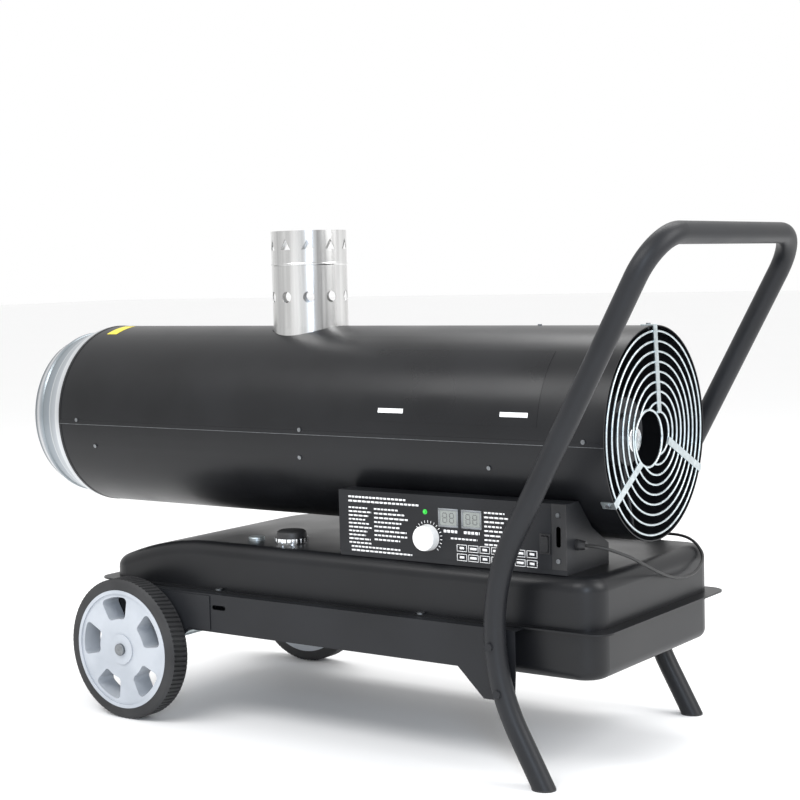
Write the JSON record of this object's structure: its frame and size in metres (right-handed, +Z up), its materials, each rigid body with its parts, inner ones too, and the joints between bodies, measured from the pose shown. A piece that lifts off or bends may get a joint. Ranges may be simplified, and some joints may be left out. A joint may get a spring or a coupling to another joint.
{
  "type": "indirect-fired oil heater",
  "caption": "Portable indirect-fired oil heater: black barrel with galvanised outlet ring and steel flue over a fuel tank, on two wheels with a bent-tube handle.",
  "frame": {"origin": "on the floor, under the middle of the heater's bounding box", "axes": "+X from the hot-air outlet to the handle, +Y away from the control panel side, +Z up"},
  "size_m": [1.5749, 0.6358, 0.958],
  "materials": {
    "black_paint": "gloss powder coat",
    "satin_black": "satin powder coat",
    "galvanised": "rolled galvanised sheet",
    "stainless": "bright stainless sheet",
    "steel": "zinc plated",
    "chrome": "polished",
    "cast": "die cast",
    "motor_paint": "satin enamel",
    "tyre_black": "moulded tread",
    "wheel_grey": "moulded",
    "black_plastic": "fine grain",
    "white_plastic": "smooth",
    "screen": "grey display window",
    "green_lens": "clear tinted",
    "copper": "drawn tube",
    "ceramic": "glazed",
    "board_green": "coated board",
    "cord_black": "flexible sheath"
  },
  "bodies": {
    "frame": {"shell_upper": "black_paint", "shell_lower": "black_paint", "shell_screws": "steel", "outlet_ring": "galvanised", "heat_exchanger": "stainless", "combustion_chamber": "stainless", "drum_stays": "steel", "flue_pipe": "stainless", "burner_plate": "steel", "blast_tube": "stainless", "air_diffuser": "stainless", "fuel_nozzle": "copper", "ignition_electrodes": "ceramic", "flame_sensor": "black_plastic", "fan_motor": "motor_paint", "motor_bracket": "steel", "fuel_pump": "motor_paint", "pump_cover": "chrome", "fuel_line": "motor_paint", "suction_line": "motor_paint", "fan_guard": "steel", "tank_upper": "black_paint", "tank_lower": "black_paint", "tank_screws": "steel", "filler_neck": "chrome", "fuel_gauge": "steel", "drain_plug": "steel", "handle_frame": "satin_black", "foot_plugs": "black_plastic", "handle_bolts": "satin_black", "left_side_panel": "satin_black", "right_side_panel": "satin_black", "left_axle_bracket": "satin_black", "right_axle_bracket": "satin_black", "axle": "steel", "axle_caps": "steel", "front_saddle": "satin_black", "rear_saddle": "satin_black", "control_box": "satin_black", "control_panel": "satin_black", "panel_end_cap": "black_plastic", "panel_screws": "steel", "displays": "screen", "status_lamp": "green_lens", "switch_bezel": "black_plastic", "control_board": "board_green", "ignition_transformer": "black_plastic", "cable_gland": "black_plastic", "power_cord": "cord_black", "cord_coil": "cord_black", "plug": "cord_black"},
    "left_wheel_set": {"left_wheel": "wheel_grey", "left_tyre": "tyre_black"},
    "right_wheel_set": {"right_wheel": "wheel_grey", "right_tyre": "tyre_black"},
    "fan": {"fan_impeller": "cast", "motor_shaft": "steel"},
    "dial": {"thermostat_dial": "white_plastic"},
    "switch": {"rocker_switch": "black_plastic"},
    "cap": {"fuel_cap": "black_plastic"}
  },
  "joints": [
    {"name": "left_wheel_spin", "type": "hinge", "parent": "frame", "child": "left_wheel_set", "pos_m": [-0.4063, -0.288, 0.14], "axis": [0, 1, 0], "continuous": true},
    {"name": "right_wheel_spin", "type": "hinge", "parent": "frame", "child": "right_wheel_set", "pos_m": [-0.4063, 0.288, 0.14], "axis": [0, 1, 0], "continuous": true},
    {"name": "fan_spin", "type": "hinge", "parent": "frame", "child": "fan", "pos_m": [0.45, 0, 0.578], "axis": [1, 0, 0], "continuous": true},
    {"name": "dial_turn", "type": "hinge", "parent": "frame", "child": "dial", "pos_m": [0.271, -0.21, 0.398], "axis": [0, 1, 0], "range_deg": [0, 270]},
    {"name": "switch_tilt", "type": "hinge", "parent": "frame", "child": "switch", "pos_m": [0.514, -0.208, 0.404], "axis": [1, 0, 0], "range_deg": [-10, 10]},
    {"name": "cap_lift", "type": "slide", "parent": "frame", "child": "cap", "axis": [0, 0, 1], "range_m": [0, 0.04]}
  ]
}
